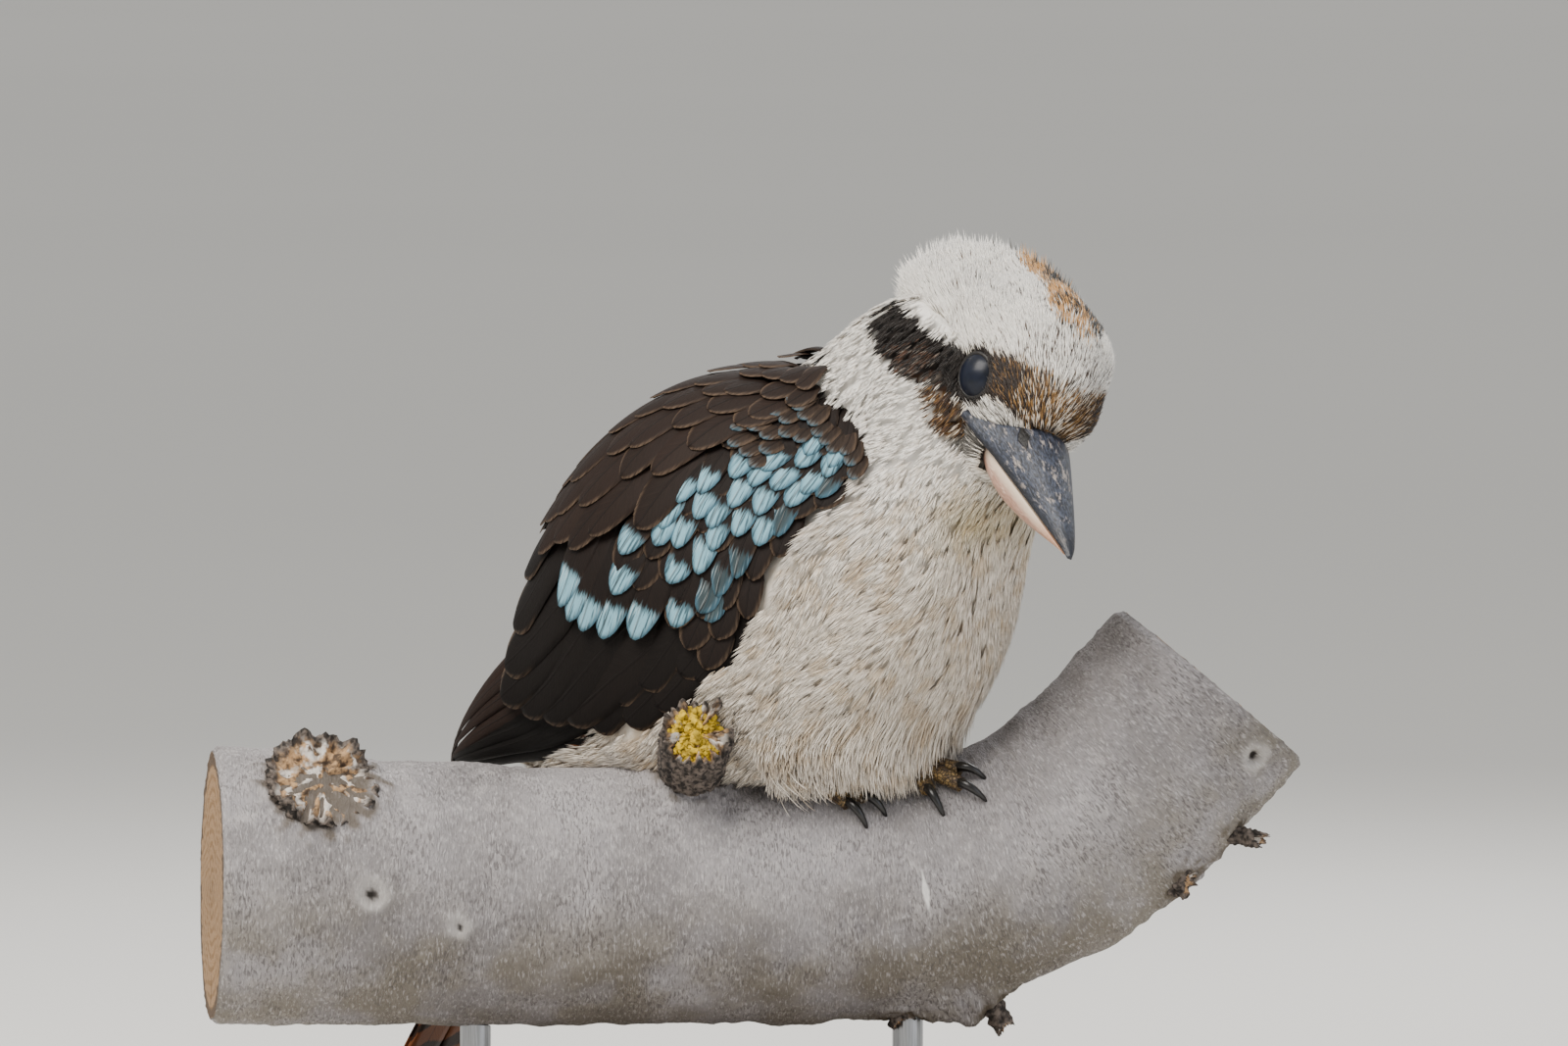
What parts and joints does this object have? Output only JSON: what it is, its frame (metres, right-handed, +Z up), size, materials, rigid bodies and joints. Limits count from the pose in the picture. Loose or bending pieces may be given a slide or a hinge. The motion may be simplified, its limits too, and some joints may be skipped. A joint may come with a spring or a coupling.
{
  "type": "kookaburra on a branch, display model",
  "caption": "Life-size laughing kookaburra perched on a cut length of gum branch, head bowed and turned, held by a plain base and rods.",
  "frame": {"origin": "centre of the stand's underside, on the surface that it stands on", "axes": "+X along the branch, the way the bird faces; +Y away from the viewer, behind the bird; +Z up"},
  "size_m": [0.3583, 0.2036, 0.3149],
  "materials": {
    "plumage_pale": "soft white and cream feathers",
    "plumage_brown": "dark brown feathers, some tipped pale blue",
    "plumage_rufous": "rufous feathers barred black, pale tips",
    "eye": "wet, dark",
    "bill_dark": "satin horn, mottled",
    "bill_horn": "satin horn",
    "foot": "scaled skin",
    "bark": "smooth weathered bark",
    "stand_wood": "dark satin wood",
    "stand_metal": "satin"
  },
  "bodies": {
    "root": {"torso": "plumage_pale", "neck": "plumage_pale", "head": "plumage_pale", "eye_right": "eye", "eye_left": "eye", "bill_upper": "bill_dark", "bill_lower": "bill_horn", "wing_right": "plumage_brown", "wing_left": "plumage_brown", "tail": "plumage_rufous", "leg_right": "foot", "leg_left": "foot", "perch": "bark", "stand_base": "stand_wood", "stand_rod_left": "stand_metal", "stand_rod_right": "stand_metal"}
  },
  "joints": []
}
